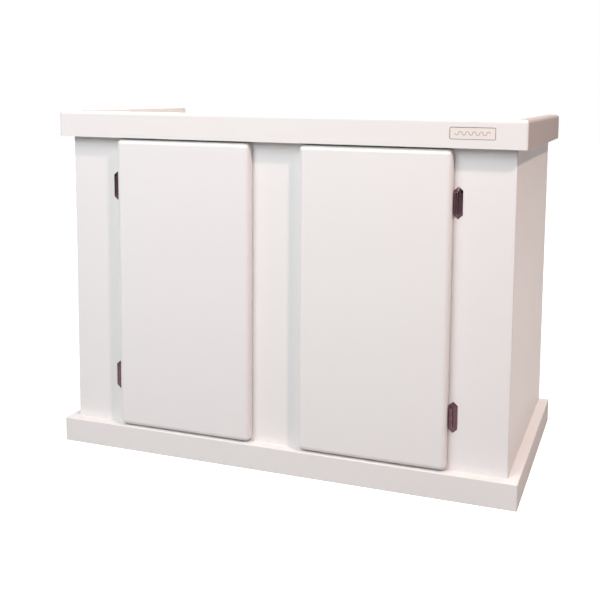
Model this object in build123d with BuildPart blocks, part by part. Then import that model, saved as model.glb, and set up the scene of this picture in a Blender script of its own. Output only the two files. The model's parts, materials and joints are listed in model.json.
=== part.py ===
"""Cabinet stand for a 900 x 450 mm aquarium: a lacquered board carcass with a raised rim,
a plinth, a face frame and two overlay doors on self-closing hinges.

Millimetres. The origin is on the floor, at the middle of the stand's footprint.
+Z is up, the doors face -Y, and +X is to the right of someone facing the doors.
"""

from build123d import *
import os

# Driving dimensions
width = 954.0
depth = 491.0
height = 700.0
board = 21.0
rim_height = 52.0
plinth_height = 50.0
rim_round = 6.5
edge_round = 2.0

deck_drop = 28.0
side_stile_width = 124.0
centre_stile_width = 126.0
opening_bottom = 65.0
opening_top = 633.0

door_width = 293.0
door_height = 592.0
door_thickness = 18.5
door_round = 10.0
door_inner_x = 51.0
door_bottom = 53.0
door_gap = 0.8

back_thickness = 9.0
cleat = 21.0
rear_rail_height = 60.0
cutout_width = 150.0
cutout_height = 70.0
cutout_round = 30.0
cutout_x = 225.0
cutout_z = 520.0
window_depth = 150.0
window_height = 110.0
window_y = 60.0
window_z = 430.0

hinge_height = 59.0
hinge_width = 16.6
hinge_point = 7.3
hinge_plate = 2.0
wing_bevel = 0.8
wing_screw_offset = 8.2
wing_screw_rise = 12.5
leaf_thickness = 1.3
leaf_reach = 40.0
leaf_height = 40.0
leaf_screw_inset = 26.0
leaf_screw_rise = 12.0
leaf_clearance = 0.1
barrel_radius = 4.0
barrel_length = 38.0
knuckle_length = 14.0
knuckle_gap = 0.3
pin_radius = 1.5
pin_head_radius = 2.2
pin_head_height = 1.6
running_clearance = 0.05
spring_pocket = 3.05
spring_half = 5.0
spring_turns = 7
spring_wire = 0.4
hinge_z = (549.0, 152.0)

plate_width = 82.0
plate_height = 22.0
plate_depth = 1.6
plate_corner = 3.0
plate_border = 1.5
plate_recess = 0.5
plate_set_back = 0.2
plate_x = 379.0
plate_z = 674.5

screw_clearance = 0.05
dowel_radius = 4.0
frame_dowel_length = 36.0
rim_dowel_length = 30.0
dowel_inset = 10.0
bumper_radius = 4.0
bumper_inset_x = 8.0
bumper_inset_z = 30.0
bumper_clearance = 0.2

# Levels and faces that follow from them
front_y = -depth / 2
rear_y = depth / 2
frame_y = front_y + board
frame_back_y = frame_y + board
body_x = width / 2 - board
inner_x = body_x - board
rim_bottom = height - rim_height
deck_top = height - deck_drop
deck_bottom = deck_top - board
back_y = rear_y - back_thickness
floor_panel_top = opening_bottom
floor_panel_bottom = floor_panel_top - board
door_back_y = frame_y - door_gap
door_outer_x = door_inner_x + door_width
axis_x = door_outer_x + barrel_radius + 0.8
axis_y = frame_y - barrel_radius - 0.3
plate_inner_x = door_outer_x + 0.6

LOW = (Align.CENTER, Align.CENTER, Align.MIN)
CORNER = (Align.MIN, Align.MIN, Align.MIN)

# Turns that point a screw's tip along an axis
TO_REAR = (-90, 0, 0)
TO_FRONT = (90, 0, 0)
TO_RIGHT = (0, 90, 0)
TO_LEFT = (0, -90, 0)
DOWN = (180, 0, 0)
UPRIGHT = (0, 0, 0)

sides = {"left": -1, "right": 1}

os.makedirs("parts", exist_ok=True)


def save(piece, name):
    """Label a finished piece and write it."""
    piece.part.label = name
    export_step(piece.part, f"parts/{name}.step")


def block(x_range, y_range, z_range):
    """Add a plain board between two limits on each axis."""
    size = [high - low for low, high in (x_range, y_range, z_range)]
    with Locations((x_range[0], y_range[0], z_range[0])):
        Box(*size, align=CORNER)


def mirrored(side, near, far):
    """The range from near to far, measured outwards from the middle on one side."""
    return tuple(sorted((side * near, side * far)))


class Screw:
    """A countersunk wood screw: shank radius, length, head radius and head height."""

    def __init__(self, shank, length, head, head_height):
        self.shank = shank
        self.length = length
        self.head = head
        self.head_height = head_height

    def drill(self, places, turn):
        """Cut the hole that the screw sits in, with its countersink."""
        with Locations(*[Location(place, turn) for place in places]):
            Cylinder(self.shank + screw_clearance, self.length + 1, align=LOW, mode=Mode.SUBTRACT)
            Cone(
                self.head + screw_clearance,
                self.shank + screw_clearance,
                self.head_height,
                align=LOW,
                mode=Mode.SUBTRACT,
            )

    def drive(self, places, turn):
        """Add the screws themselves, each with a cross recess in its head."""
        slot_length = self.head * 1.2
        slot_width = self.head * 0.24
        slot_depth = self.head_height / 2
        with Locations(*[Location(place, turn) for place in places]):
            Cylinder(self.shank, self.length, align=LOW)
            Cone(self.head, self.shank, self.head_height, align=LOW)
            Box(slot_length, slot_width, slot_depth, align=LOW, mode=Mode.SUBTRACT)
            Box(slot_width, slot_length, slot_depth, align=LOW, mode=Mode.SUBTRACT)


board_screw = Screw(2.0, 45.0, 4.0, 3.0)
band_screw = Screw(2.0, 36.0, 4.0, 3.0)
cleat_screw = Screw(2.0, 34.0, 4.0, 3.0)
panel_screw = Screw(1.75, 25.0, 3.5, 2.6)
hinge_screw = Screw(1.4, 15.0, 2.6, 1.2)

# Where the screws go: (x, y, z) of each head
deck_rows = (-1, 0, 1)
deck_screw_y = (-160.0, 20.0, 200.0)
deck_screws_at = [
    (row * (body_x - board / 2), y, deck_top) for row in deck_rows for y in deck_screw_y
]
rim_screw_x = (-400.0, -200.0, 0.0, 200.0, 400.0)
rim_screw_z = (rim_bottom + deck_top) / 2
rim_front_screws_at = [(x, frame_back_y, rim_screw_z) for x in rim_screw_x]
plinth_screw_z = 22.0
plinth_screw_x = (-390.0, -130.0, 130.0, 390.0)
plinth_front_screws_at = [(x, frame_back_y, plinth_screw_z) for x in plinth_screw_x]
plinth_side_screw_y = (-120.0, 60.0, 190.0)
plinth_side_screws_at = {
    side: [(side * inner_x, y, plinth_screw_z) for y in plinth_side_screw_y]
    for side in sides.values()
}
back_screw_x = (-380.0, -150.0, 150.0, 380.0)
back_screw_rows = (deck_bottom - rear_rail_height / 2, floor_panel_bottom / 2)
back_screw_middle_z = (200.0, 350.0, 500.0)
back_screws_at = [(x, rear_y, z) for z in back_screw_rows for x in back_screw_x]
back_screws_at += [(0.0, rear_y, z) for z in back_screw_middle_z]
cleat_screw_y = (-140.0, 30.0, 170.0)
cleat_screws_at = {
    side: [(side * (inner_x - cleat), y, deck_bottom - cleat / 2) for y in cleat_screw_y]
    for side in sides.values()
}
bearer_screws_at = [
    (side * (inner_x - board / 2), y, floor_panel_top)
    for side in sides.values()
    for y in deck_screw_y
]
rim_dowel_y = (-150.0, 30.0, 210.0)
rim_dowels_at = {
    side: [(side * body_x, y, deck_top - board / 2) for y in rim_dowel_y]
    for side in sides.values()
}
wing_screws_at = {
    side: [
        (side * (axis_x + wing_screw_offset), frame_y - hinge_plate, z + rise)
        for z in hinge_z
        for rise in (-wing_screw_rise, wing_screw_rise)
    ]
    for side in sides.values()
}
leaf_screws_at = {
    side: [
        (side * (door_outer_x - leaf_screw_inset), door_back_y, z + rise)
        for z in hinge_z
        for rise in (-leaf_screw_rise, leaf_screw_rise)
    ]
    for side in sides.values()
}


def drill_dowels(places, length, turn):
    """Cut blind holes for dowels that lie across a joint."""
    with Locations(*[Location(place, turn) for place in places]):
        Cylinder(dowel_radius + screw_clearance, length + 2, mode=Mode.SUBTRACT)


def drive_dowels(places, length, turn):
    """Add the dowels themselves, each with its ends chamfered."""
    with Locations(*[Location(place, turn) for place in places]):
        Cylinder(dowel_radius, length - 2)
        for end, tip in ((1, 0), (-1, 180)):
            with Locations(Location((0, 0, end * (length / 2 - 1)), (tip, 0, 0))):
                Cone(dowel_radius, dowel_radius - 1, 1, align=LOW)


def rim_or_plinth(low, high, top_round, corner_round):
    """A U of boards round the front and both sides of the body, open at the rear."""
    with BuildPart() as band:
        block((-width / 2, width / 2), (front_y, rear_y), (low, high))
        with Locations((0, frame_y, low)):
            Box(
                2 * body_x,
                depth,
                high - low,
                align=(Align.CENTER, Align.MIN, Align.MIN),
                mode=Mode.SUBTRACT,
            )
        upright = band.edges().filter_by(Axis.Z)
        front_corners = upright.group_by(Axis.Y)[0]
        fillet(front_corners, corner_round)
        top = band.edges().group_by(Axis.Z)[-1]
        outer = [e for e in top if abs(e.center().X) > body_x + 1 or e.center().Y < frame_y - 1]
        fillet(outer, top_round)
    return band


def band_piece(band, which):
    """One board of the U, cut at the 45 degree mitres of the two front corners."""
    left_mitre = Plane((-body_x, frame_y, 0), z_dir=(-1, 1, 0))
    right_mitre = Plane((body_x, frame_y, 0), z_dir=(1, 1, 0))
    middle = Plane.YZ
    with BuildPart() as piece:
        add(band.part)
        if which == "front":
            split(bisect_by=left_mitre, keep=Keep.BOTTOM)
            split(bisect_by=right_mitre, keep=Keep.BOTTOM)
        elif which == "left":
            split(bisect_by=left_mitre, keep=Keep.TOP)
            split(bisect_by=middle, keep=Keep.BOTTOM)
        else:
            split(bisect_by=right_mitre, keep=Keep.TOP)
            split(bisect_by=middle, keep=Keep.TOP)
    return piece


# Rim: front board with a pocket for the name plate, and two side boards
rim = rim_or_plinth(rim_bottom, height, rim_round, rim_round)
back_of_plate = Plane((plate_x, front_y + plate_depth, plate_z), x_dir=(1, 0, 0), z_dir=(0, -1, 0))

with BuildPart() as rim_front:
    add(band_piece(rim, "front").part)
    with BuildSketch(back_of_plate):
        RectangleRounded(
            plate_width + 2 * screw_clearance,
            plate_height + 2 * screw_clearance,
            plate_corner + screw_clearance,
        )
    extrude(amount=2 * plate_depth, mode=Mode.SUBTRACT)
    band_screw.drill(rim_front_screws_at, TO_FRONT)
save(rim_front, "rim_front")

for name, side in sides.items():
    with BuildPart() as rim_side:
        add(band_piece(rim, name).part)
        drill_dowels(rim_dowels_at[side], rim_dowel_length, TO_RIGHT)
    save(rim_side, f"rim_{name}")

# Plinth: front board and two side boards
plinth = rim_or_plinth(0.0, plinth_height, edge_round, edge_round)

with BuildPart() as plinth_front:
    add(band_piece(plinth, "front").part)
    band_screw.drill(plinth_front_screws_at, TO_FRONT)
save(plinth_front, "plinth_front")

for name, side in sides.items():
    with BuildPart() as plinth_side:
        add(band_piece(plinth, name).part)
        band_screw.drill(plinth_side_screws_at[side], TO_RIGHT if side > 0 else TO_LEFT)
    save(plinth_side, f"plinth_{name}")

# Name plate: a shallow raised border round a blank field
with BuildPart() as name_plate:
    with BuildSketch(back_of_plate):
        RectangleRounded(plate_width, plate_height, plate_corner)
    extrude(amount=plate_depth - plate_set_back)
    with BuildSketch(back_of_plate.offset(plate_depth - plate_set_back - plate_recess)):
        RectangleRounded(
            plate_width - 2 * plate_border,
            plate_height - 2 * plate_border,
            plate_corner - plate_border,
        )
    extrude(amount=plate_recess, mode=Mode.SUBTRACT)
save(name_plate, "name_plate")

# Face frame: side stiles to the floor, rails between them, centre stile between the rails
frame_mid_y = (frame_y + frame_back_y) / 2
side_stile_inner = body_x - side_stile_width
rail_ranges = {"bottom": (0.0, opening_bottom), "top": (opening_top, deck_top)}
side_dowel_z = (
    18.0,
    opening_bottom - 18.0,
    opening_top + dowel_inset,
    deck_top - dowel_inset,
)
centre_dowel_x = 32.0
side_dowels_at = {
    side: [(side * side_stile_inner, frame_mid_y, z) for z in side_dowel_z]
    for side in sides.values()
}
centre_dowels_at = [
    (x, frame_mid_y, z)
    for x in (-centre_dowel_x, centre_dowel_x)
    for z in (opening_bottom, opening_top)
]


for name, side in sides.items():
    with BuildPart() as stile:
        block(mirrored(side, side_stile_inner, body_x), (frame_y, frame_back_y), (0, deck_top))
        outer = stile.edges().filter_by(Axis.Z).group_by(Axis.Y)[0]
        fillet(outer.sort_by(Axis.X)[0 if side < 0 else -1], edge_round)
        drill_dowels(side_dowels_at[side], frame_dowel_length, TO_RIGHT)
        heads = rim_front_screws_at + plinth_front_screws_at
        band_screw.drill([p for p in heads if side * p[0] > side_stile_inner], TO_FRONT)
        hinge_screw.drill(wing_screws_at[side], TO_REAR)
    save(stile, f"{name}_stile")

with BuildPart() as centre_stile:
    half = centre_stile_width / 2
    block((-half, half), (frame_y, frame_back_y), (opening_bottom, opening_top))
    drill_dowels(centre_dowels_at, frame_dowel_length, UPRIGHT)
save(centre_stile, "centre_stile")

for name, z_range in rail_ranges.items():
    with BuildPart() as rail:
        block((-side_stile_inner, side_stile_inner), (frame_y, frame_back_y), z_range)
        for side in sides.values():
            drill_dowels(side_dowels_at[side], frame_dowel_length, TO_RIGHT)
        drill_dowels(centre_dowels_at, frame_dowel_length, UPRIGHT)
        heads = plinth_front_screws_at if name == "bottom" else rim_front_screws_at
        band_screw.drill([p for p in heads if abs(p[0]) < side_stile_inner], TO_FRONT)
    save(rail, f"{name}_rail")

with BuildPart() as frame_dowels:
    for side in sides.values():
        drive_dowels(side_dowels_at[side], frame_dowel_length, TO_RIGHT)
    drive_dowels(centre_dowels_at, frame_dowel_length, UPRIGHT)
save(frame_dowels, "frame_dowels")

with BuildPart() as rim_dowels:
    for side in sides.values():
        drive_dowels(rim_dowels_at[side], rim_dowel_length, TO_RIGHT)
save(rim_dowels, "rim_dowels")

# Side panels, behind the face frame and inside the rim and plinth
for name, side in sides.items():
    outwards = TO_RIGHT if side > 0 else TO_LEFT
    with BuildPart() as panel:
        block(mirrored(side, inner_x, body_x), (frame_back_y, rear_y), (0, deck_bottom))
        rear_edge = panel.edges().filter_by(Axis.Z).group_by(Axis.Y)[-1]
        fillet(rear_edge.sort_by(Axis.X)[0 if side < 0 else -1], edge_round)
        board_screw.drill([p for p in deck_screws_at if side * p[0] > inner_x], DOWN)
        band_screw.drill(plinth_side_screws_at[side], outwards)
        cleat_screw.drill(cleat_screws_at[side], outwards)
    save(panel, f"side_panel_{name}")

    with BuildPart() as deck_cleat:
        y_range = (frame_back_y, back_y - board)
        block(mirrored(side, inner_x - cleat, inner_x), y_range, (deck_bottom - cleat, deck_bottom))
        cleat_screw.drill(cleat_screws_at[side], outwards)
    save(deck_cleat, f"deck_cleat_{name}")

# Tank deck, flush with the top of the face frame and let in below the rim
with BuildPart() as tank_deck:
    block((-body_x, body_x), (frame_back_y, rear_y), (deck_bottom, deck_top))
    board_screw.drill(deck_screws_at, DOWN)
    for side in sides.values():
        drill_dowels(rim_dowels_at[side], rim_dowel_length, TO_RIGHT)
save(tank_deck, "tank_deck")

# Centre partition with a window that lets hoses pass between the two compartments
with BuildPart() as centre_partition:
    block((-board / 2, board / 2), (frame_back_y, back_y), (floor_panel_top, deck_bottom))
    with BuildSketch(Plane((0, window_y, window_z), x_dir=(0, 1, 0), z_dir=(1, 0, 0))):
        RectangleRounded(window_depth, window_height, cutout_round)
    extrude(amount=board, both=True, mode=Mode.SUBTRACT)
    board_screw.drill([p for p in deck_screws_at if p[0] == 0], DOWN)
    panel_screw.drill([p for p in back_screws_at if p[0] == 0], TO_FRONT)
save(centre_partition, "centre_partition")

# Rear rails under the deck, one in each compartment
for name, side in sides.items():
    with BuildPart() as rear_rail:
        x_range = mirrored(side, board / 2, inner_x)
        block(x_range, (back_y - board, back_y), (deck_bottom - rear_rail_height, deck_bottom))
        heads = [p for p in back_screws_at if side * p[0] > 0 and p[2] > height / 2]
        panel_screw.drill(heads, TO_FRONT)
    save(rear_rail, f"rear_rail_{name}")

# Bottom panel and the bearers that carry it to the floor
with BuildPart() as bottom_panel:
    block((-inner_x, inner_x), (frame_back_y, back_y), (floor_panel_bottom, floor_panel_top))
    cleat_screw.drill(bearer_screws_at, DOWN)
save(bottom_panel, "bottom_panel")

bearer_rows = {"left": -inner_x + board / 2, "centre": 0.0, "right": inner_x - board / 2}
for name, x in bearer_rows.items():
    with BuildPart() as bearer:
        x_range = (x - board / 2, x + board / 2)
        block(x_range, (frame_back_y, back_y - board), (0, floor_panel_bottom))
        if name != "centre":
            cleat_screw.drill([p for p in bearer_screws_at if p[0] * x > 0], DOWN)
    save(bearer, f"floor_bearer_{name}")

with BuildPart() as rear_bearer:
    block((-inner_x, inner_x), (back_y - board, back_y), (0, floor_panel_bottom))
    panel_screw.drill([p for p in back_screws_at if p[2] < height / 2 and p[0] != 0], TO_FRONT)
save(rear_bearer, "floor_bearer_rear")

# Back panel, let in between the side panels, with one cut-out for each compartment
with BuildPart() as back_panel:
    block((-inner_x, inner_x), (back_y, rear_y), (0, deck_bottom))
    for side in sides.values():
        cutout_middle = (side * cutout_x, back_y, cutout_z)
        with BuildSketch(Plane(cutout_middle, x_dir=(1, 0, 0), z_dir=(0, 1, 0))):
            RectangleRounded(cutout_width, cutout_height, cutout_round)
        extrude(amount=back_thickness, mode=Mode.SUBTRACT)
    panel_screw.drill(back_screws_at, TO_FRONT)
save(back_panel, "back_panel")

# Doors: slabs with every front edge and corner well rounded, and a recess for each hinge leaf
for name, side in sides.items():
    with BuildPart() as door:
        x_range = mirrored(side, door_inner_x, door_outer_x)
        z_range = (door_bottom, door_bottom + door_height)
        block(x_range, (door_back_y - door_thickness, door_back_y), z_range)
        rounded = door.faces().sort_by(Axis.Y)[0].edges() + door.edges().filter_by(Axis.Y)
        fillet(rounded, door_round)
        recess_end = door_outer_x - leaf_reach - leaf_clearance
        half_recess = leaf_height / 2 + leaf_clearance
        for z in hinge_z:
            with Locations((side * recess_end, door_back_y, z)):
                Box(
                    leaf_reach + 1.0,
                    leaf_thickness,
                    2 * half_recess,
                    align=(Align.MIN if side > 0 else Align.MAX, Align.MAX, Align.CENTER),
                    mode=Mode.SUBTRACT,
                )
        hinge_screw.drill(leaf_screws_at[side], TO_FRONT)
    save(door, f"door_{name}")

    with BuildPart() as leaf_screws:
        hinge_screw.drive(leaf_screws_at[side], TO_FRONT)
    save(leaf_screws, f"door_hinge_screws_{name}")

    bumper_x = side * (door_inner_x + bumper_inset_x)
    with BuildPart() as bumpers:
        for z in (door_bottom + bumper_inset_z, door_bottom + door_height - bumper_inset_z):
            with Locations(Location((bumper_x, door_back_y, z), TO_REAR)):
                Cylinder(bumper_radius, door_gap - bumper_clearance, align=LOW)
    save(bumpers, f"door_bumpers_{name}")

# Hinges: a pointed wing on the stile, a leaf behind the door, a pin and a closing spring
half_barrel = barrel_length / 2
half_knuckle = knuckle_length / 2


def hinge_frame_wing(side, z):
    """The visible wing: a long hexagon with bevelled edges, carrying the two outer knuckles."""
    near = side * plate_inner_x
    far = side * (plate_inner_x + hinge_width)
    middle = (near + far) / 2
    shoulder = hinge_height / 2 - hinge_point
    outline = [
        (near, z - shoulder),
        (middle, z - hinge_height / 2),
        (far, z - shoulder),
        (far, z + shoulder),
        (middle, z + hinge_height / 2),
        (near, z + shoulder),
    ]
    with BuildPart() as wing:
        with BuildSketch(Plane((0, frame_y, 0), x_dir=(1, 0, 0), z_dir=(0, -1, 0))):
            with BuildLine():
                Polyline(*outline, close=True)
            make_face()
        extrude(amount=hinge_plate)
        chamfer(wing.faces().sort_by(Axis.Y)[0].edges(), wing_bevel)
        knuckle_start = half_knuckle + knuckle_gap
        for end in (-1, 1):
            middle_z = z + end * (knuckle_start + half_barrel) / 2
            with Locations((side * axis_x, axis_y, middle_z)):
                Cylinder(barrel_radius, half_barrel - knuckle_start)
        with Locations((side * axis_x, axis_y, z)):
            Cylinder(pin_radius + running_clearance, hinge_height, mode=Mode.SUBTRACT)
            Box(
                2 * barrel_radius + 1.0,
                4 * barrel_radius,
                2 * knuckle_start,
                mode=Mode.SUBTRACT,
            )
        heads = [p for p in wing_screws_at[side] if abs(p[2] - z) < hinge_height / 2]
        hinge_screw.drill(heads, TO_REAR)
    return wing


def hinge_door_leaf(side, z):
    """The hidden leaf: a plate let into the door's back and the middle knuckle, with its spring pocket."""
    neck_x = door_outer_x - 0.5
    half_leaf = leaf_height / 2
    with BuildPart() as leaf:
        y_range = (door_back_y - leaf_thickness, door_back_y)
        x_range = mirrored(side, door_outer_x - leaf_reach, neck_x)
        block(x_range, y_range, (z - half_leaf, z + half_leaf))
        block(mirrored(side, neck_x, axis_x), y_range, (z - half_knuckle, z + half_knuckle))
        with Locations((side * axis_x, axis_y, z)):
            Cylinder(barrel_radius, knuckle_length)
            Cylinder(pin_radius + running_clearance, knuckle_length, mode=Mode.SUBTRACT)
            Cylinder(spring_pocket, 2 * spring_half, mode=Mode.SUBTRACT)
        heads = [p for p in leaf_screws_at[side] if abs(p[2] - z) < hinge_height / 2]
        hinge_screw.drill(heads, TO_FRONT)
    return leaf


def hinge_pin(side, z):
    """The pin, with a domed head at each end of the barrel."""
    with BuildPart() as pin:
        with Locations((side * axis_x, axis_y, z)):
            Cylinder(pin_radius, barrel_length)
        for end in (-1, 1):
            head_z = z + end * (half_barrel + pin_head_height / 2)
            with Locations((side * axis_x, axis_y, head_z)):
                Cylinder(pin_head_radius, pin_head_height)
        outer_edges = pin.edges().group_by(Axis.Z)[0] + pin.edges().group_by(Axis.Z)[-1]
        fillet(outer_edges, pin_head_height * 0.6)
    return pin


def hinge_spring(side, z):
    """The closing spring, wound round the pin inside the middle knuckle."""
    winding = 2 * (spring_half - 1.0)
    radius = (pin_radius + spring_pocket) / 2
    with BuildPart() as spring:
        with BuildLine() as path:
            Helix(winding / spring_turns, winding, radius)
        with BuildSketch(Plane(path.line @ 0, z_dir=path.line % 0)):
            Circle(spring_wire)
        sweep()
    return spring.part.moved(Location((side * axis_x, axis_y, z - winding / 2)))


for name, side in sides.items():
    for level, z in zip(("top", "bottom"), hinge_z):
        save(hinge_frame_wing(side, z), f"hinge_{name}_{level}_frame_wing")
        save(hinge_door_leaf(side, z), f"hinge_{name}_{level}_door_leaf")
        save(hinge_pin(side, z), f"hinge_{name}_{level}_pin")
        coil = hinge_spring(side, z)
        coil.label = f"hinge_{name}_{level}_spring"
        export_step(coil, f"parts/{coil.label}.step")

with BuildPart() as wing_screws:
    for side in sides.values():
        hinge_screw.drive(wing_screws_at[side], TO_REAR)
save(wing_screws, "frame_hinge_screws")

# Board screws, grouped by the joint that they hold
with BuildPart() as deck_screws:
    board_screw.drive(deck_screws_at, DOWN)
save(deck_screws, "deck_screws")

with BuildPart() as rim_screws:
    band_screw.drive(rim_front_screws_at, TO_FRONT)
save(rim_screws, "rim_screws")

with BuildPart() as plinth_screws:
    band_screw.drive(plinth_front_screws_at, TO_FRONT)
    band_screw.drive(plinth_side_screws_at[-1], TO_LEFT)
    band_screw.drive(plinth_side_screws_at[1], TO_RIGHT)
save(plinth_screws, "plinth_screws")

with BuildPart() as cleat_screws:
    cleat_screw.drive(cleat_screws_at[-1], TO_LEFT)
    cleat_screw.drive(cleat_screws_at[1], TO_RIGHT)
save(cleat_screws, "cleat_screws")

with BuildPart() as bearer_screws:
    cleat_screw.drive(bearer_screws_at, DOWN)
save(bearer_screws, "bearer_screws")

with BuildPart() as back_screws:
    panel_screw.drive(back_screws_at, TO_FRONT)
save(back_screws, "back_panel_screws")
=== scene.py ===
# %% [markdown]
# # A lacquered cabinet stand for an aquarium
#
# The stand is a board carcass with a raised rim round the tank's foot, a plinth on the floor, and two
# overlay doors on dark hinges. The design model gives every board its size and place. This script keeps
# the boards whose shape is already right, models again the pieces that catch the light on soft edges,
# and gives each surface its finish.

# %% Load the design model
import bmesh
import bpy
import json
import math
from mathutils import Matrix, Vector


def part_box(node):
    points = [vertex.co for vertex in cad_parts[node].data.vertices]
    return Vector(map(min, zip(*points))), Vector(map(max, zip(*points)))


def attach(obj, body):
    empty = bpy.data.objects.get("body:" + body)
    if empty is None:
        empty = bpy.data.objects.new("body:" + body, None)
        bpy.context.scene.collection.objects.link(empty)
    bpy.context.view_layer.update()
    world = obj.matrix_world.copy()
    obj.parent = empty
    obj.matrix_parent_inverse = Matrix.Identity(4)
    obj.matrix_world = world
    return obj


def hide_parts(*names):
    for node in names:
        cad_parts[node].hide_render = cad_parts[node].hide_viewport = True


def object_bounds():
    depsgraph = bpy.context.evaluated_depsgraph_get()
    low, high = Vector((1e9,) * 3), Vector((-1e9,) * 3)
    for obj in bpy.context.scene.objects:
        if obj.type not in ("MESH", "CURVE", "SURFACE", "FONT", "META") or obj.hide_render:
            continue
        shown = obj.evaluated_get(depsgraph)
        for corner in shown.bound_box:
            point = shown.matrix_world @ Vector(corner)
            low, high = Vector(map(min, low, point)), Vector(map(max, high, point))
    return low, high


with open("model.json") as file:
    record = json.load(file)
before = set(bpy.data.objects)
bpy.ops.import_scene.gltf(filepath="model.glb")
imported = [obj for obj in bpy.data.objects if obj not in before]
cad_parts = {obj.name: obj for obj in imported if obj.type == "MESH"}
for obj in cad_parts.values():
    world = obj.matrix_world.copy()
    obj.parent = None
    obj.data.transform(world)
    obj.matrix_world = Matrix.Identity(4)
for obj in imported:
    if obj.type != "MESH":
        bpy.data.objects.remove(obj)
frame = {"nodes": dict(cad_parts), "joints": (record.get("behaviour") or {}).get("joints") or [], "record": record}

low_before, high_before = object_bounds()
nodes = frame["nodes"]
joints = {joint["name"]: joint for joint in frame["joints"]}
MM = 0.001
touching = 1e-6
print("stand", [round(v, 4) for v in high_before - low_before], "metres,", len(nodes), "nodes")

# %% [markdown]
# ## Camera
#
# The stand is seen from its front right, from a little above its rim, with upright edges that stay
# nearly parallel. A camera that points only slightly down and shifts its picture keeps them so, as a
# shift lens does. Tilting the camera more would make the cabinet taper towards the floor.

# %% Place the camera
camera_place = Vector((0.6795, -1.8122, 0.7418))
camera_turn_left = math.radians(19.155)
camera_tilt_down = math.radians(6.115)
camera_roll = math.radians(0.655)

camera_data = bpy.data.cameras.new("camera")
camera_data.sensor_width = 36.0
camera_data.lens = 54.19
camera_data.shift_x = -0.0667
camera_data.shift_y = -0.1833
camera = bpy.data.objects.new("camera", camera_data)
bpy.context.scene.collection.objects.link(camera)
turn = Matrix.Rotation(camera_turn_left, 4, "Z")
tilt = Matrix.Rotation(math.pi / 2 - camera_tilt_down, 4, "X")
roll = Matrix.Rotation(camera_roll, 4, "Z")
camera.matrix_world = Matrix.Translation(camera_place) @ turn @ tilt @ roll
bpy.context.scene.camera = camera
print("camera", [round(v, 3) for v in camera_place], "lens", camera_data.lens, "mm")

# %% [markdown]
# ## Floor
#
# The floor is a wide pale disc that glows towards the lens, so strongly that it meets the white room
# without a line and takes next to no shadow of the stand. The boards see it otherwise: it throws little
# light back on them, since that would flatten their tones, and it mirrors in the side panel nearly as
# bright as the backdrop and in the doors as a dim foreground.

# %% Make the floor
floor_radius = 12.0
floor_mesh = bpy.data.meshes.new("floor")
disc = bmesh.new()
bmesh.ops.create_circle(disc, cap_ends=True, segments=96, radius=floor_radius)
disc.to_mesh(floor_mesh)
disc.free()
floor = bpy.data.objects.new("floor", floor_mesh)
bpy.context.scene.collection.objects.link(floor)
floor_material = bpy.data.materials.new("pale_floor")
floor_material.use_nodes = True
floor_tree = floor_material.node_tree
floor_shader = floor_tree.nodes["Principled BSDF"]
floor_shader.inputs["Roughness"].default_value = 0.8
floor_mesh.materials.append(floor_material)
print("floor radius", floor_radius, "m")


# %% Light the floor differently for each kind of ray
def floor_ramp(value, value_range, result_range):
    """A number for the floor that follows another."""
    node = floor_tree.nodes.new("ShaderNodeMapRange")
    node.inputs["From Min"].default_value, node.inputs["From Max"].default_value = value_range
    node.inputs["To Min"].default_value, node.inputs["To Max"].default_value = result_range
    floor_tree.links.new(value, node.inputs["Value"])
    return node.outputs["Result"]


def by_ray(kind, others, lens):
    """One value for the camera's own rays and another for all other rays."""
    node = floor_tree.nodes.new("ShaderNodeMix")
    node.data_type = kind
    floor_tree.links.new(floor_rays.outputs["Is Camera Ray"], node.inputs["Factor"])
    for socket, value in ((node.inputs["A"], others), (node.inputs["B"], lens)):
        if isinstance(value, bpy.types.NodeSocket):
            floor_tree.links.new(value, socket)
        else:
            socket.default_value = value
    return node.outputs["Result"]


mirror_tint = (1.0, 0.88, 0.84, 1.0)
plain_white = (1.0, 1.0, 1.0, 1.0)
floor_seen = (0.78, 0.78, 0.78, 1.0)
floor_bounced = (0.30, 0.30, 0.30, 1.0)
round_the_stand = (0.7, 2.2)
seen_strength = (0.70, 1.05)
foreground_edge = (-0.45, -0.15)
mirrored_strength = (0.10, 0.78)

floor_place = floor_tree.nodes.new("ShaderNodeTexCoord")
floor_distance = floor_tree.nodes.new("ShaderNodeVectorMath")
floor_distance.operation = "LENGTH"
floor_split = floor_tree.nodes.new("ShaderNodeSeparateXYZ")
floor_tree.links.new(floor_place.outputs["Object"], floor_distance.inputs[0])
floor_tree.links.new(floor_place.outputs["Object"], floor_split.inputs[0])
floor_rays = floor_tree.nodes.new("ShaderNodeLightPath")
seen_glow = floor_ramp(floor_distance.outputs["Value"], round_the_stand, seen_strength)
mirrored_glow = floor_ramp(floor_split.outputs["Y"], foreground_edge, mirrored_strength)
mirrored = floor_tree.nodes.new("ShaderNodeMath")
mirrored.operation = "MULTIPLY"
floor_tree.links.new(mirrored_glow, mirrored.inputs[0])
floor_tree.links.new(floor_rays.outputs["Is Glossy Ray"], mirrored.inputs[1])

floor_finish = {
    "Emission Strength": ("FLOAT", mirrored.outputs[0], seen_glow),
    "Emission Color": ("RGBA", mirror_tint, plain_white),
    "Base Color": ("RGBA", floor_bounced, floor_seen),
}
for socket, (kind, others, lens) in floor_finish.items():
    floor_tree.links.new(by_ray(kind, others, lens), floor_shader.inputs[socket])
print("floor", len(floor_tree.nodes), "nodes")

# %% [markdown]
# ## Lamps
#
# Two of the four lamps do most of the work. A small warm key stands high on the right in front of the
# stand, and being small it draws a crisp shadow under the rim and to the left of each door. A wide,
# slightly cool fill from the front left carries most of the light, so those shadows stay pale. A third
# lamp, high and a little behind, lights the ledges and the tank deck, and a fourth keeps the rear boards
# readable.

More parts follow.
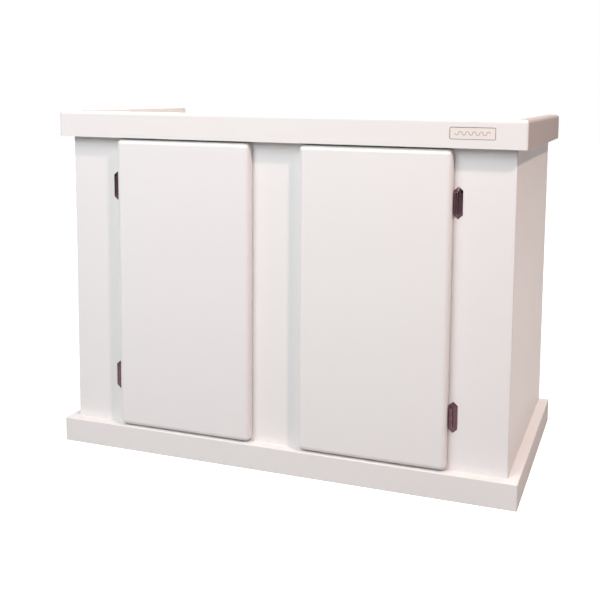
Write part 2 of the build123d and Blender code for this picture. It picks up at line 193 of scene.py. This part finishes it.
# %% Make the lamps
def soft_lamp(name, place, aim, size, power, colour):
    """A square soft lamp that faces a point."""
    data = bpy.data.lights.new(name, "AREA")
    data.shape = "SQUARE"
    data.size = size
    data.energy = power
    data.color = colour
    lamp = bpy.data.objects.new(name, data)
    bpy.context.scene.collection.objects.link(lamp)
    lamp.location = place
    lamp.rotation_euler = (Vector(aim) - Vector(place)).to_track_quat("-Z", "Y").to_euler()
    return lamp


middle = (low_before + high_before) / 2
key_direction = Vector((0.59, -0.39, 0.71)).normalized()
key_place = middle + 3.5 * key_direction
lamps = [
    soft_lamp("key_lamp", key_place, middle, size=0.22, power=66.0, colour=(1.0, 0.79, 0.72)),
    soft_lamp("fill_lamp", (-0.8, -2.5, 2.25), middle, size=2.4, power=97.0, colour=(0.95, 0.98, 1.0)),
    soft_lamp("top_lamp", (0.80, 0.9, 3.0), middle, size=1.2, power=36.0, colour=(1.0, 0.97, 0.94)),
    soft_lamp("rear_lamp", (-1.8, 3.0, 1.8), middle, size=1.6, power=48.0, colour=(1.0, 0.98, 0.96)),
]
print("lamps at", [[round(v, 2) for v in lamp.location] for lamp in lamps])

# %% [markdown]
# ## Room
#
# A glossy white shows its shape by what it reflects. Behind the stand hangs a bright backdrop, which the
# side panel mirrors at its grazing angle. The rest of the room is dim, a little brighter overhead. The
# lens itself sees plain white all round.

# %% Make the world
world = bpy.data.worlds.new("studio")
bpy.context.scene.world = world
world.use_nodes = True
room = world.node_tree
room.nodes.clear()


def room_ramp(value, value_range, strength_range):
    """A strength that follows one part of the direction, smoothly."""
    node = room.nodes.new("ShaderNodeMapRange")
    node.interpolation_type = "SMOOTHSTEP"
    node.inputs["From Min"].default_value, node.inputs["From Max"].default_value = value_range
    node.inputs["To Min"].default_value, node.inputs["To Max"].default_value = strength_range
    room.links.new(value, node.inputs["Value"])
    return node.outputs["Result"]


backdrop_edge = (0.74, 0.92)
backdrop_strength = 0.88
overhead_strength = (0.02, 0.09)
room_output = room.nodes.new("ShaderNodeOutputWorld")
background = room.nodes.new("ShaderNodeBackground")
direction = room.nodes.new("ShaderNodeTexCoord")
split = room.nodes.new("ShaderNodeSeparateXYZ")
room.links.new(direction.outputs["Generated"], split.inputs[0])
backdrop = room_ramp(split.outputs["Y"], backdrop_edge, (0.0, backdrop_strength))
overhead = room_ramp(split.outputs["Z"], (0.0, 0.9), overhead_strength)
brighter = room.nodes.new("ShaderNodeMath")
brighter.operation = "MAXIMUM"
room.links.new(backdrop, brighter.inputs[0])
room.links.new(overhead, brighter.inputs[1])
rays = room.nodes.new("ShaderNodeLightPath")
strength = room.nodes.new("ShaderNodeMix")
strength.inputs["B"].default_value = 1.0
tint = room.nodes.new("ShaderNodeMix")
tint.data_type = "RGBA"
tint.inputs["A"].default_value = mirror_tint
tint.inputs["B"].default_value = plain_white
room.links.new(brighter.outputs[0], strength.inputs["A"])
for mixed in (strength, tint):
    room.links.new(rays.outputs["Is Camera Ray"], mixed.inputs["Factor"])
room.links.new(strength.outputs["Result"], background.inputs["Strength"])
room.links.new(tint.outputs["Result"], background.inputs["Color"])
room.links.new(background.outputs[0], room_output.inputs[0])
bpy.context.scene.view_settings.view_transform = "Standard"
print("room", len(room.nodes), "nodes")

# %% [markdown]
# ## Node helpers
#
# Every finish is made of the same few steps: a noise on the object's own coordinates, a range or a
# colour picked by it, and a small bump. Each step is a short function, so that a finish reads as a
# recipe.

# %% Node helpers
def new_material(name):
    """A material, its node tree and its Principled shader."""
    material = bpy.data.materials.new(name)
    material.use_nodes = True
    tree = material.node_tree
    return material, tree, tree.nodes["Principled BSDF"]


def noise(tree, scale, detail=3.0, stretch=(1.0, 1.0, 1.0)):
    """Noise on the object's own coordinates, in patterns per metre."""
    coordinates = tree.nodes.new("ShaderNodeTexCoord")
    mapping = tree.nodes.new("ShaderNodeMapping")
    mapping.inputs["Scale"].default_value = stretch
    texture = tree.nodes.new("ShaderNodeTexNoise")
    texture.inputs["Scale"].default_value = scale
    texture.inputs["Detail"].default_value = detail
    tree.links.new(coordinates.outputs["Object"], mapping.inputs["Vector"])
    tree.links.new(mapping.outputs[0], texture.inputs["Vector"])
    return texture.outputs["Fac"]


def between(tree, value, low, high):
    """Turns a 0 to 1 value into a number between low and high."""
    node = tree.nodes.new("ShaderNodeMapRange")
    node.inputs["To Min"].default_value = low
    node.inputs["To Max"].default_value = high
    tree.links.new(value, node.inputs["Value"])
    return node.outputs["Result"]


def colour(tree, value):
    """A colour that is linked, or a plain one made into a node's output."""
    if isinstance(value, bpy.types.NodeSocket):
        return value
    node = tree.nodes.new("ShaderNodeRGB")
    node.outputs[0].default_value = (*value, 1.0)
    return node.outputs[0]


def mix_colour(tree, value, first, second):
    """A colour between two, chosen by a 0 to 1 value."""
    node = tree.nodes.new("ShaderNodeMix")
    node.data_type = "RGBA"
    tree.links.new(value, node.inputs["Factor"])
    tree.links.new(colour(tree, first), node.inputs["A"])
    tree.links.new(colour(tree, second), node.inputs["B"])
    return node.outputs["Result"]


def bump(tree, height, distance, under=None):
    """A bump up to a distance in metres high, on top of another bump if one is given."""
    node = tree.nodes.new("ShaderNodeBump")
    node.inputs["Distance"].default_value = distance
    tree.links.new(height, node.inputs["Height"])
    if under is not None:
        tree.links.new(under, node.inputs["Normal"])
    return node.outputs["Normal"]


def on_edges(tree, through):
    """1 on a board's edges and 0 on its two faces, where through is the axis of its thickness."""
    coordinates = tree.nodes.new("ShaderNodeTexCoord")
    parts = tree.nodes.new("ShaderNodeSeparateXYZ")
    tree.links.new(coordinates.outputs["Normal"], parts.inputs[0])
    size = tree.nodes.new("ShaderNodeMath")
    size.operation = "ABSOLUTE"
    tree.links.new(parts.outputs[through], size.inputs[0])
    edge = tree.nodes.new("ShaderNodeMath")
    edge.operation = "LESS_THAN"
    edge.inputs[1].default_value = 0.5
    tree.links.new(size.outputs[0], edge.inputs[0])
    return edge.outputs[0]


finishes = {}
print("node helpers ready")

# %% [markdown]
# ## White lacquers
#
# The doors, the face frame and the side panels are a soft gloss white with a thin clear coat, while rim
# and plinth are made duller. The rim's right board gets a darker copy of the trim white, which is painted
# shade, not another paint. The rim's right board gets a darker version, chosen by eye: it may stand for
# shade and not for another paint. In all of them the tone drifts slightly over a board, the grain of the
# core shows through as a very faint relief along it, and the spray leaves a fine orange peel. Each relief
# is kept under a hundredth of a millimetre. The deck, bottom panel and partition are a plain satin white.

# %% White lacquers
grain_relief = 0.008 * MM
peel_relief = 0.005 * MM


def lacquer(name, light, shade, roughness, coat, specular):
    """Sprayed white lacquer with a slow drift of tone, faint grain and fine orange peel."""
    material, tree, shader = new_material(name)
    tree.links.new(mix_colour(tree, noise(tree, 2.2), light, shade), shader.inputs["Base Color"])
    dulled = between(tree, noise(tree, 45.0), roughness * 0.85, roughness * 1.2)
    tree.links.new(dulled, shader.inputs["Roughness"])
    grain = bump(tree, noise(tree, 160.0, 4.0, (1.0, 1.0, 0.05)), grain_relief)
    peel = bump(tree, noise(tree, 380.0, 1.0), peel_relief, grain)
    tree.links.new(peel, shader.inputs["Normal"])
    shader.inputs["Specular IOR Level"].default_value = specular
    shader.inputs["Coat Weight"].default_value = coat
    shader.inputs["Coat Roughness"].default_value = 0.06
    return material


whites = {
    "white_lacquer": ((0.805, 0.790, 0.785), (0.785, 0.768, 0.764), 0.36, 0.12, 0.42),
    "white_trim": ((0.790, 0.770, 0.760), (0.770, 0.750, 0.740), 0.45, 0.0, 0.05),
    # The rim's right board: the trim white made darker, as painted shade.
    "white_trim_end": ((0.510, 0.460, 0.440), (0.485, 0.435, 0.415), 0.45, 0.0, 0.05),
    "white_satin": ((0.730, 0.715, 0.705), (0.705, 0.690, 0.680), 0.50, 0.0, 0.35),
}
for name, (light, shade, roughness, coat, specular) in whites.items():
    finishes[name] = lacquer(name, light, shade, roughness, coat, specular)
print("lacquers", sorted(finishes))

# %% [markdown]
# ## Boards with raw edges
#
# Inside, nobody paints what the tank's owner never sees. The back panel is white on its faces and shows
# brown fibre where it is cut. The rear rails, deck cleats and bearers are birch ply with their layers on
# the edges. The surface normal tells a face from an edge, so one material does both.

# %% Fibre board and ply
def cut_board(name, faces, core, through):
    """A faced fibre board whose cut edges are raw."""
    material, tree, shader = new_material(name)
    fibres = mix_colour(tree, noise(tree, 900.0, 5.0), core, [part * 0.72 for part in core])
    face = mix_colour(tree, noise(tree, 3.0), faces, [part * 0.96 for part in faces])
    edge = on_edges(tree, through)
    tree.links.new(mix_colour(tree, edge, face, fibres), shader.inputs["Base Color"])
    tree.links.new(between(tree, edge, 0.45, 0.85), shader.inputs["Roughness"])
    tree.links.new(bump(tree, noise(tree, 420.0), 0.00002), shader.inputs["Normal"])
    return material


def ply(name, light, dark, along, through):
    """Wood with grain along its faces and layers on its edges. The beech dowels use it for the grain."""
    material, tree, shader = new_material(name)
    stretch = [1.0, 1.0, 1.0]
    stretch["XYZ".index(along)] = 0.05
    grain = noise(tree, 160.0, 8.0, stretch)
    face = mix_colour(tree, grain, light, dark)
    coordinates = tree.nodes.new("ShaderNodeTexCoord")
    layers = tree.nodes.new("ShaderNodeTexWave")
    layers.bands_direction = through
    layers.inputs["Scale"].default_value = 105.0
    layers.inputs["Distortion"].default_value = 0.4
    tree.links.new(coordinates.outputs["Object"], layers.inputs["Vector"])
    stack = mix_colour(tree, layers.outputs["Fac"], light, [part * 0.55 for part in dark])
    edge = on_edges(tree, through)
    tree.links.new(mix_colour(tree, edge, face, stack), shader.inputs["Base Color"])
    tree.links.new(between(tree, grain, 0.50, 0.72), shader.inputs["Roughness"])
    tree.links.new(bump(tree, grain, 0.00012), shader.inputs["Normal"])
    return material


birch_light = (0.66, 0.50, 0.33)
birch_dark = (0.52, 0.37, 0.22)
finishes["faced_back"] = cut_board("faced_back", (0.73, 0.715, 0.705), (0.32, 0.20, 0.11), "Y")
finishes["birch_ply"] = ply("birch_ply", birch_light, birch_dark, "Y", "X")
finishes["birch_ply_across"] = ply("birch_ply_across", birch_light, birch_dark, "X", "Y")
finishes["beech"] = ply("beech", (0.60, 0.38, 0.22), (0.48, 0.28, 0.15), "X", "Z")
print("boards", sorted(finishes))

# %% [markdown]
# ## Metals, enamel and bumper
#
# The hinges are plated in dark nickel, which has a plum cast, goes nearly black where it mirrors the dim
# room and takes sharp highlights. The plating is never quite even, so its colour and polish vary at the
# scale of a millimetre, with fine brush lines up the hinge.

# %% Metals, enamel and bumper
def plated(name, light, dark, roughness):
    """Plated metal with a fine uneven polish and brush lines along Z."""
    material, tree, shader = new_material(name)
    tree.links.new(mix_colour(tree, noise(tree, 500.0), light, dark), shader.inputs["Base Color"])
    brushed = noise(tree, 1500.0, 2.0, (1.0, 1.0, 0.04))
    tree.links.new(between(tree, brushed, roughness * 0.7, roughness * 1.4), shader.inputs["Roughness"])
    tree.links.new(bump(tree, brushed, 0.000004), shader.inputs["Normal"])
    shader.inputs["Metallic"].default_value = 1.0
    return material


def enamel(name, light, shade, roughness):
    """Smooth enamel with a slight drift of tone."""
    material, tree, shader = new_material(name)
    tree.links.new(mix_colour(tree, noise(tree, 60.0), light, shade), shader.inputs["Base Color"])
    dulled = between(tree, noise(tree, 300.0), roughness * 0.8, roughness * 1.2)
    tree.links.new(dulled, shader.inputs["Roughness"])
    shader.inputs["Coat Weight"].default_value = 0.4
    return material


finishes["black_nickel"] = plated("black_nickel", (0.360, 0.222, 0.262), (0.170, 0.100, 0.122), 0.22)
finishes["spring_steel"] = plated("spring_steel", (0.35, 0.35, 0.36), (0.25, 0.25, 0.26), 0.30)
finishes["zinc_steel"] = plated("zinc_steel", (0.62, 0.60, 0.52), (0.50, 0.49, 0.45), 0.30)
finishes["plate_metal"] = enamel("plate_metal", (0.83, 0.775, 0.735), (0.80, 0.74, 0.70), 0.30)
finishes["plate_border"] = enamel("plate_border", (0.27, 0.235, 0.22), (0.21, 0.18, 0.17), 0.35)
finishes["plate_mark"] = enamel("plate_mark", (0.50, 0.44, 0.41), (0.46, 0.40, 0.37), 0.35)

bumper, bumper_tree, bumper_shader = new_material("clear_bumper")
clouding = noise(bumper_tree, 700.0)
tint = mix_colour(bumper_tree, clouding, (0.78, 0.80, 0.80), (0.70, 0.73, 0.73))
bumper_tree.links.new(tint, bumper_shader.inputs["Base Color"])
bumper_tree.links.new(between(bumper_tree, clouding, 0.2, 0.35), bumper_shader.inputs["Roughness"])
bumper_shader.inputs["Transmission Weight"].default_value = 0.55
finishes["clear_bumper"] = bumper
print("finishes", len(finishes))

# %% [markdown]
# ## Finishes on the boards that stay
#
# The record names a finish slot for each node. Boards that show a cut edge, or whose grain runs across
# the stand, take their own version of that finish, and so does the rim's right board, whose darker white
# is painted shade.

# %% Give every node its finish
versions = {
    "back_panel": "faced_back",
    # The rim's right board takes the darker trim white, which is painted shade.
    "rim_right": "white_trim_end",
    "rear_rail_left": "birch_ply_across",
    "rear_rail_right": "birch_ply_across",
    "floor_bearer_rear": "birch_ply_across",
}
slot_of = {part["node"]: part["material_slot"] for part in frame["record"]["subparts"]}
for name, node in nodes.items():
    for slot in node.material_slots:
        slot.material = finishes[versions.get(name, slot_of[name])]
print("dressed", len(nodes), "nodes")

# %% [markdown]
# ## Shape helpers
#
# The new pieces all start as a block, a disc or a drum. Edges are picked by where they lie or which way
# they run, and then rounded. A finished shape becomes an object that rides on its body, and a weighted
# normal keeps its broad faces flat beside narrow rounded edges.

# %% Shape helpers
def slab(low, high):
    """A plain block between two corners."""
    shape = bmesh.new()
    bmesh.ops.create_cube(shape, size=1.0)
    bmesh.ops.scale(shape, vec=Vector(high) - Vector(low), verts=shape.verts)
    bmesh.ops.translate(shape, vec=(Vector(low) + Vector(high)) / 2, verts=shape.verts)
    return shape


def edges_along(shape, axis):
    """The edges that run along an axis."""
    index = "XYZ".index(axis)
    return [e for e in shape.edges if abs((e.verts[0].co - e.verts[1].co).normalized()[index]) > 0.999]


def edges_at(shape, axis, value):
    """The edges that lie in a plane across an axis."""
    index = "XYZ".index(axis)
    return [e for e in shape.edges if all(abs(v.co[index] - value) < touching for v in e.verts)]


def round_edges(shape, edges, radius, segments):
    """Round some edges of a shape."""
    bmesh.ops.bevel(
        shape, geom=edges, offset=radius, segments=segments, profile=0.5, affect="EDGES", material=-1
    )


def drum(radius, length, place, rounding=0.0, segments=40):
    """An upright cylinder round a place, with its two rims rounded."""
    shape = bmesh.new()
    bmesh.ops.create_cone(
        shape, cap_ends=True, segments=segments, radius1=radius, radius2=radius, depth=length
    )
    if rounding:
        rims = edges_at(shape, "Z", length / 2) + edges_at(shape, "Z", -length / 2)
        round_edges(shape, rims, rounding, segments=4)
    bmesh.ops.translate(shape, vec=place, verts=shape.verts)
    return shape


def together(*shapes):
    """Several shapes as one."""
    whole = shapes[0]
    for shape in shapes[1:]:
        carrier = bpy.data.meshes.new("carrier")
        shape.to_mesh(carrier)
        shape.free()
        whole.from_mesh(carrier)
        bpy.data.meshes.remove(carrier)
    return whole


print("shape helpers ready")

# %% Cut one shape from another
def as_object(name, shape):
    """An object in the scene made of a shape, which is used up."""
    mesh = bpy.data.meshes.new(name)
    bmesh.ops.recalc_face_normals(shape, faces=shape.faces)
    shape.to_mesh(mesh)
    shape.free()
    made = bpy.data.objects.new(name, mesh)
    bpy.context.scene.collection.objects.link(made)
    return made


def cut(shape, tool):
    """What is left of a shape when a tool's shape is taken out of it."""
    blank = as_object("blank", shape)
    cutter = as_object("cutter", tool)
    modifier = blank.modifiers.new("cut", "BOOLEAN")
    modifier.operation = "DIFFERENCE"
    modifier.solver = "EXACT"
    modifier.object = cutter
    result = bmesh.new()
    result.from_object(blank, bpy.context.evaluated_depsgraph_get())
    for used in (blank, cutter):
        bpy.data.objects.remove(used)
    return result


# %% Finish a piece
sharp_angle = math.radians(40.0)


def finish_piece(name, shape, finish, body, stands_for):
    """An object with its finish, on its body, in place of its design nodes."""
    piece = as_object(name, shape)
    piece.data.shade_smooth()
    piece.data.set_sharp_from_angle(angle=sharp_angle)
    piece.data.materials.append(finishes[finish])
    weighted = piece.modifiers.new("even_shading", "WEIGHTED_NORMAL")
    weighted.keep_sharp = True
    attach(piece, body)
    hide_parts(*stands_for)
    return piece


# %% Find the separate solids of a node
def solids_of(node):
    """The lowest and highest corner of each separate solid in a design node, from the left and below."""
    shape = bmesh.new()
    shape.from_mesh(nodes[node].data)
    bmesh.ops.remove_doubles(shape, verts=shape.verts, dist=touching)
    left = set(shape.verts)
    boxes = []
    while left:
        found = [left.pop()]
        for vert in found:
            near = {edge.other_vert(vert) for edge in vert.link_edges} & left
            left -= near
            found.extend(near)
        corners = [[pick(v.co[i] for v in found) for i in range(3)] for pick in (min, max)]
        boxes.append(tuple(Vector(corner) for corner in corners))
    shape.free()
    return sorted(boxes, key=lambda box: (round(box[0].x, 4), round(box[0].z, 4), round(box[0].y, 4)))


print("frame hinge screws", len(solids_of("frame_hinge_screws")))

# %% [markdown]
# ## Doors
#
# Each door is one thick slab with a soft front: the corners are rounded as seen from the front, and the
# whole front edge rolls over, so that its tone falls off softly towards the gap. The roll is a shade
# smaller than the corner radius, so the corner keeps a tiny arc and no pinched point. On the back, a
# shallow pocket is cut for each hinge leaf, so that the door can lie close to the frame.

# %% Make the doors
door_round = 10.0 * MM
door_roll = 9.6 * MM
door_back_ease = 0.5 * MM
leaf_thickness = 1.3 * MM
leaf_corner = 4.0 * MM
leaf_play = 0.1 * MM


def leaf_recess(side, level, outwards):
    """The shallow pocket that a hinge leaf lies in, open at the door's edge."""
    door_low, door_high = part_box(f"door_{side}")
    low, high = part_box(f"hinge_{side}_{level}_door_leaf")
    edge = door_high.x if outwards > 0 else door_low.x
    end = low.x if outwards > 0 else high.x
    left, right = sorted((end - outwards * leaf_play, edge + outwards * 2 * leaf_corner))
    pocket = slab(
        (left, door_high.y - leaf_thickness, low.z - leaf_play),
        (right, door_high.y + leaf_thickness, high.z + leaf_play),
    )
    round_edges(pocket, edges_along(pocket, "Y"), leaf_corner, segments=8)
    return pocket


for side, outwards in (("left", -1), ("right", 1)):
    low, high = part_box(f"door_{side}")
    door = slab(low, high)
    round_edges(door, edges_along(door, "Y"), door_round, segments=12)
    round_edges(door, edges_at(door, "Y", low.y), door_roll, segments=8)
    round_edges(door, edges_at(door, "Y", high.y), door_back_ease, segments=2)
    door = cut(door, together(*[leaf_recess(side, level, outwards) for level in ("top", "bottom")]))
    made = finish_piece(f"door_slab_{side}", door, "white_lacquer", f"{side}_door", [f"door_{side}"])
    print(made.name, len(made.data.polygons), "faces")

# %% [markdown]
# ## Hinge wings
#
# When the door is shut, the wing and the barrel beside it are all that shows of a hinge. The wing is a
# long plate with pointed ends and a wide sloping border, so each slope takes its own tone. Its two
# knuckles hold the pin. The plate begins as a six-sided disc whose halves are pulled apart, is extruded
# to the height of its outer edge and then inset upwards, and the screws' countersinks are cut through it.

# %% Make the hinge wings
wing_thickness = 2.0 * MM
wing_point = 7.3 * MM
wing_slope = 2.3 * MM
wing_rise = 1.1 * MM
wing_soften = 0.30 * MM
wing_middle_share = 0.82
knuckle_length = 14.0 * MM
knuckle_gap = 0.3 * MM
knuckle_rounding = 0.55 * MM
pin_head_height = 1.6 * MM
screw_head = 2.6 * MM
screw_head_height = 1.2 * MM
screw_shank = 1.4 * MM
screw_play = 0.12 * MM
screw_reach = 0.5 * MM


def pointed_plate(low, high):
    """A long six-sided plate on the face frame with a raised middle."""
    half_height = (high.z - low.z) / 2
    shape = bmesh.new()
    bmesh.ops.create_circle(shape, cap_ends=True, segments=6, radius=1.0)
    half_width = (high.x - low.x) / 2
    widen = half_width / math.sin(math.radians(60.0))
    bmesh.ops.scale(shape, vec=(widen, 2 * wing_point, 1.0), verts=shape.verts)
    upright = Matrix.Rotation(math.pi / 2, 4, "X")
    bmesh.ops.transform(shape, matrix=upright, verts=shape.verts)
    for end in (-1, 1):
        half = [v for v in shape.verts if v.co.z * end > 0]
        bmesh.ops.translate(shape, vec=(0, 0, end * (half_height - 2 * wing_point)), verts=half)
    grown = bmesh.ops.extrude_face_region(shape, geom=shape.faces[:])
    lifted = [part for part in grown["geom"] if isinstance(part, bmesh.types.BMVert)]
    bmesh.ops.translate(shape, vec=(0, wing_rise - wing_thickness, 0), verts=lifted)
    bmesh.ops.recalc_face_normals(shape, faces=shape.faces)
    front = min(shape.faces, key=lambda face: face.calc_center_median().y)
    bmesh.ops.inset_region(
        shape, faces=[front], thickness=wing_slope, depth=wing_rise, use_even_offset=True
    )
    raised = [v for v in shape.verts if v.co.y < wing_rise / 2 - wing_thickness]
    bmesh.ops.scale(shape, vec=(1.0, 1.0, wing_middle_share), verts=raised)
    edges = edges_at(shape, "Y", -wing_thickness) + edges_at(shape, "Y", wing_rise - wing_thickness)
    round_edges(shape, edges, wing_soften, segments=3)
    centre = (low + high) / 2
    bmesh.ops.translate(shape, vec=(centre.x, high.y, centre.z), verts=shape.verts)
    return shape


def countersink(screw, facing):
    """The hole for one hinge screw's head, which faces forwards (-1) or to the rear (1)."""
    low, high = screw
    face = low.y if facing < 0 else high.y
    flare = (screw_head - screw_shank) / screw_head_height
    mouth = screw_head + screw_play + flare * screw_reach
    depth = screw_head_height + screw_reach
    shape = bmesh.new()
    bmesh.ops.create_cone(
        shape, cap_ends=True, segments=28, radius1=mouth, radius2=screw_shank, depth=depth
    )
    bmesh.ops.translate(shape, vec=(0, 0, depth / 2 - screw_reach), verts=shape.verts)
    turned = Matrix.Rotation(facing * math.pi / 2, 4, "X")
    bmesh.ops.transform(shape, matrix=turned, verts=shape.verts)
    place = ((low.x + high.x) / 2, face, (low.z + high.z) / 2)
    bmesh.ops.translate(shape, vec=place, verts=shape.verts)
    return shape


def screws_beside(node, low, high):
    """The screws of a node whose middle lies between two heights and two sides."""
    return [
        screw
        for screw in solids_of(node)
        if low.x < (screw[0].x + screw[1].x) / 2 < high.x
        and low.z < (screw[0].z + screw[1].z) / 2 < high.z
    ]


hinges = [(side, level) for side in ("left", "right") for level in ("top", "bottom")]
for side, level in hinges:
    hinge = f"hinge_{side}_{level}"
    low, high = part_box(f"{hinge}_frame_wing")
    holes = [countersink(screw, -1) for screw in screws_beside("frame_hinge_screws", low, high)]
    plate = cut(pointed_plate(low, high), together(*holes))
    axis_x, axis_y, _ = joints[f"{side}_door_hinge"]["pos_m"]
    barrel_radius = axis_y - low.y
    pin_low, pin_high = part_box(f"{hinge}_pin")
    half_barrel = (pin_high.z - pin_low.z) / 2 - pin_head_height
    start = knuckle_length / 2 + knuckle_gap
    height = half_barrel - start
    centre_z = (low.z + high.z) / 2
    offset = start + height / 2
    knuckles = [
        drum(barrel_radius, height, (axis_x, axis_y, centre_z + end * offset), knuckle_rounding)
        for end in (-1, 1)
    ]
    wing = together(plate, *knuckles)
    made = finish_piece(f"{hinge}_wing", wing, "black_nickel", "carcass", [f"{hinge}_frame_wing"])
    print(made.name, len(made.data.polygons), "faces")

# %% [markdown]
# ## Hinge leaves and pins
#
# In the door's back each hinge has a plain leaf with rounded corners, and its neck reaches round the
# door's edge to the middle knuckle. The pin shows only as a small dome at each end of the barrel. The
# leaf goes with the door, while the pin stays with the frame.

# %% Make the hinge leaves and pins
leaf_ease = 0.2 * MM
neck_inset = 0.5 * MM
pin_shank_radius = 1.5 * MM
pin_dome = 1.1 * MM

for side, level in hinges:
    hinge = f"hinge_{side}_{level}"
    body = f"{side}_door"
    axis_x, axis_y, _ = joints[f"{side}_door_hinge"]["pos_m"]
    outwards = 1 if axis_x > 0 else -1
    low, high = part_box(f"{hinge}_door_leaf")
    door_low, door_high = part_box(f"door_{side}")
    door_edge = door_high.x if outwards > 0 else door_low.x
    leaf_end = low.x if outwards > 0 else high.x
    neck_x = door_edge - outwards * neck_inset
    leaf_back = door_high.y
    centre_z = (low.z + high.z) / 2

    left, right = sorted((leaf_end, neck_x))
    leaf = slab((left, leaf_back - leaf_thickness, low.z), (right, leaf_back, high.z))
    round_edges(leaf, edges_along(leaf, "Y"), leaf_corner, segments=8)
    round_edges(leaf, edges_at(leaf, "Y", leaf_back), leaf_ease, segments=2)
    leaf_low, leaf_high = Vector((left, 0, low.z)), Vector((right, 0, high.z))
    screws = screws_beside(f"door_hinge_screws_{side}", leaf_low, leaf_high)
    leaf = cut(leaf, together(*[countersink(screw, 1) for screw in screws]))

    left, right = sorted((neck_x - outwards * leaf_corner, axis_x))
    half = knuckle_length / 2
    neck = slab((left, leaf_back - leaf_thickness, centre_z - half), (right, leaf_back, centre_z + half))
    knuckle = drum(axis_y - low.y, knuckle_length, (axis_x, axis_y, centre_z), knuckle_rounding)
    finish_piece(
        f"{hinge}_leaf", together(leaf, neck, knuckle), "black_nickel", body, [f"{hinge}_door_leaf"]
    )

    pin_low, pin_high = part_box(f"{hinge}_pin")
    head_radius = (pin_high.x - pin_low.x) / 2
    shank = drum(pin_shank_radius, pin_high.z - pin_low.z - pin_head_height, (axis_x, axis_y, centre_z))
    heads = []
    for end_z, inwards in ((pin_low.z, 1), (pin_high.z, -1)):
        place = (axis_x, axis_y, end_z + inwards * pin_head_height / 2)
        head = drum(head_radius, pin_head_height, place)
        round_edges(head, edges_at(head, "Z", end_z), pin_dome, segments=6)
        heads.append(head)
    made = finish_piece(
        f"{hinge}_pin_domed", together(shank, *heads), "black_nickel", "carcass", [f"{hinge}_pin"]
    )
    print(made.name, "head", round(head_radius / MM, 2), "mm")

# %% [markdown]
# ## Door bumpers
#
# Two clear bumpers near the free edge of each door keep the lacquered faces apart. Each is a shallow
# dome: half of a sphere, flattened to a little less than the gap. The sphere's poles lie on its own Z
# axis, so the cut across it is clean.

# %% Make the door bumpers
for side in ("left", "right"):
    domes = []
    for low, high in solids_of(f"door_bumpers_{side}"):
        dome = bmesh.new()
        bmesh.ops.create_uvsphere(dome, u_segments=32, v_segments=16, radius=1.0)
        sliced = dome.verts[:] + dome.edges[:] + dome.faces[:]
        bmesh.ops.bisect_plane(
            dome, geom=sliced, plane_co=(0, 0, 0), plane_no=(0, 0, 1), clear_inner=True, dist=touching
        )
        bmesh.ops.holes_fill(dome, edges=[e for e in dome.edges if e.is_boundary])
        radius = (high.x - low.x) / 2
        bmesh.ops.scale(dome, vec=(radius, radius, high.y - low.y), verts=dome.verts)
        to_rear = Matrix.Rotation(-math.pi / 2, 4, "X")
        bmesh.ops.transform(dome, matrix=to_rear, verts=dome.verts)
        place = ((low.x + high.x) / 2, low.y, (low.z + high.z) / 2)
        bmesh.ops.translate(dome, vec=place, verts=dome.verts)
        domes.append(dome)
    count = len(domes)
    bumpers = finish_piece(
        f"door_bumper_domes_{side}", together(*domes), "clear_bumper", f"{side}_door",
        [f"door_bumpers_{side}"],
    )
    print(bumpers.name, count, "domes")

# %% [markdown]
# ## Name plate
#
# A small plate is let into the rim near its right end. It has a dark rounded border, a pale enamel field
# just below it and, in place of any lettering, a plain line of waves. The wave is a short edge that is
# spun through one half circle after another, up and down in turn, and then given its thickness.

# %% Make the name plate
plate_low, plate_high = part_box("name_plate")
plate_corner = 3.0 * MM
border_width = 1.1 * MM
border_rounding = 0.15 * MM
field_depth = 0.35 * MM
wave_radius = 3.1 * MM
wave_width = 1.4 * MM
wave_height = 0.22 * MM
wave_crests = 10

border = slab(plate_low, plate_high)
round_edges(border, edges_along(border, "Y"), plate_corner, segments=8)
bmesh.ops.recalc_face_normals(border, faces=border.faces)
front = min(border.faces, key=lambda face: face.calc_center_median().y)
bmesh.ops.inset_region(border, faces=[front], thickness=border_width, depth=0.0, use_even_offset=True)
sunk = bmesh.ops.extrude_face_region(border, geom=[front])
sunk_verts = [part for part in sunk["geom"] if isinstance(part, bmesh.types.BMVert)]
bmesh.ops.translate(border, vec=(0, 2 * field_depth, 0), verts=sunk_verts)
bmesh.ops.delete(border, geom=[front], context="FACES_ONLY")
round_edges(border, edges_at(border, "Y", plate_low.y), border_rounding, segments=2)
finish_piece("name_plate_border", border, "plate_border", "carcass", ["name_plate"])

inner = Vector((border_width, 0, border_width))
field = slab(
    plate_low + inner + Vector((0, field_depth, 0)),
    Vector((plate_high.x, plate_low.y + 3 * field_depth, plate_high.z)) - inner,
)
round_edges(field, edges_along(field, "Y"), plate_corner - border_width, segments=8)
finish_piece("name_plate_field", field, "plate_metal", "carcass", ["name_plate"])

# %% Make the wave line
wave = bmesh.new()
start_x = -wave_crests * wave_radius
ends = [wave.verts.new((start_x + part * wave_width, 0, 0)) for part in (-0.5, 0.5)]
moving = [*ends, wave.edges.new(ends)]
for crest in range(wave_crests):
    centre_x = start_x + (2 * crest + 1) * wave_radius
    half_turn = math.pi if crest % 2 else -math.pi
    swept = bmesh.ops.spin(
        wave, geom=moving, cent=(centre_x, 0, 0), axis=(0, 1, 0), dvec=(0, 0, 0),
        angle=half_turn, steps=14, use_merge=False,
    )
    moving = swept["geom_last"]
bmesh.ops.remove_doubles(wave, verts=wave.verts, dist=touching)
bmesh.ops.recalc_face_normals(wave, faces=wave.faces)
bmesh.ops.solidify(wave, geom=wave.faces[:], thickness=wave_height)
centre = (plate_low + plate_high) / 2
spread = [v.co.y for v in wave.verts]
wave_y = plate_low.y + field_depth - max(spread)
bmesh.ops.translate(wave, vec=(centre.x, wave_y, centre.z), verts=wave.verts)
mark = finish_piece("name_plate_waves", wave, "plate_mark", "carcass", ["name_plate"])
print(mark.name, wave_crests, "crests", round(2 * wave_crests * wave_radius / MM, 1), "mm long")
